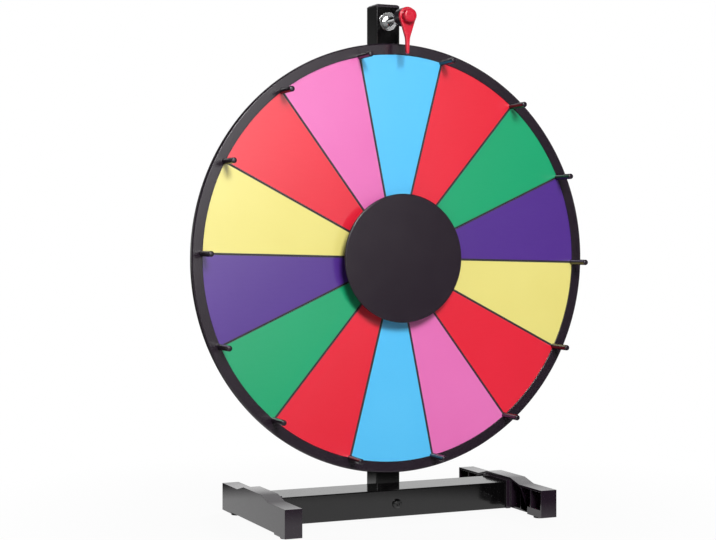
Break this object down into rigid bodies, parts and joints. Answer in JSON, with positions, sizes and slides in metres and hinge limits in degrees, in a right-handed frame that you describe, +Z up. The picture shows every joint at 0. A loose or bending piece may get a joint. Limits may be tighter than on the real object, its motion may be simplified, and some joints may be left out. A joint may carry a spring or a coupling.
{
  "type": "carnival game wheel",
  "caption": "Tabletop prize wheel: coloured disc with pegs and a round hub cover, spinning on a post with two feet, under a hanging red pointer that the pegs knock aside.",
  "frame": {"origin": "on the table, under the middle of the base", "axes": "+Z up along the post, X along the crossbar, -Y to the wheel's face"},
  "size_m": [0.6099, 0.252, 0.7375],
  "materials": {
    "black_plastic": "fine-textured moulded black plastic",
    "black_steel": "black powder coat",
    "black_board": "fibreboard, painted black",
    "zinc": "bright zinc plate",
    "housing_metal": "turned",
    "rubber": "soft matt rubber",
    "red_plastic": "glossy moulded plastic",
    "blue_panel": "dry-wipe film",
    "red_panel": "dry-wipe film",
    "green_panel": "dry-wipe film",
    "purple_panel": "dry-wipe film",
    "yellow_panel": "dry-wipe film",
    "pink_panel": "dry-wipe film"
  },
  "bodies": {
    "stand": {"left_foot": "black_plastic", "right_foot": "black_plastic", "foot_pads": "rubber", "foot_screws": "zinc", "crossbar": "black_steel", "post": "black_steel", "post_cap": "black_plastic", "post_bolt": "black_steel", "post_bolt_sleeve": "zinc", "post_bolt_nut": "zinc", "axle_bolt": "zinc", "axle_front_washer": "zinc", "axle_rear_washer": "zinc", "axle_nut": "zinc", "axle_spacer": "zinc", "bearing_spacer": "zinc", "bearing_inner_rings": "zinc", "bearing_balls": "zinc", "pivot_bolt": "zinc", "pivot_front_washer": "zinc", "pivot_rear_washer": "zinc", "pivot_post_nut": "zinc", "pivot_collar_nut": "zinc", "pivot_end_nut": "zinc"},
    "wheel": {"wheel_board": "black_board", "rim": "black_plastic", "blue_slices": "blue_panel", "red_slices": "red_panel", "green_slices": "green_panel", "purple_slices": "purple_panel", "yellow_slices": "yellow_panel", "pink_slices": "pink_panel", "pegs": "black_plastic", "peg_screws": "zinc", "hub_cover": "black_plastic", "hub_screws": "zinc", "bearing_housing": "housing_metal", "clamp_ring": "zinc", "flange_bolts": "zinc", "flange_nuts": "zinc", "bearing_outer_rings": "zinc"},
    "pointer": {"pointer": "red_plastic", "pointer_collar": "black_plastic", "pointer_cap": "red_plastic"}
  },
  "joints": [
    {"name": "wheel_spin", "type": "hinge", "parent": "stand", "child": "wheel", "pos_m": [0, -0.0285, 0.3725], "axis": [0, 1, 0], "continuous": true},
    {"name": "pointer_swing", "type": "hinge", "parent": "stand", "child": "pointer", "pos_m": [0, -0.0675, 0.7125], "axis": [0, 1, 0], "range_deg": [-80, 80]}
  ]
}
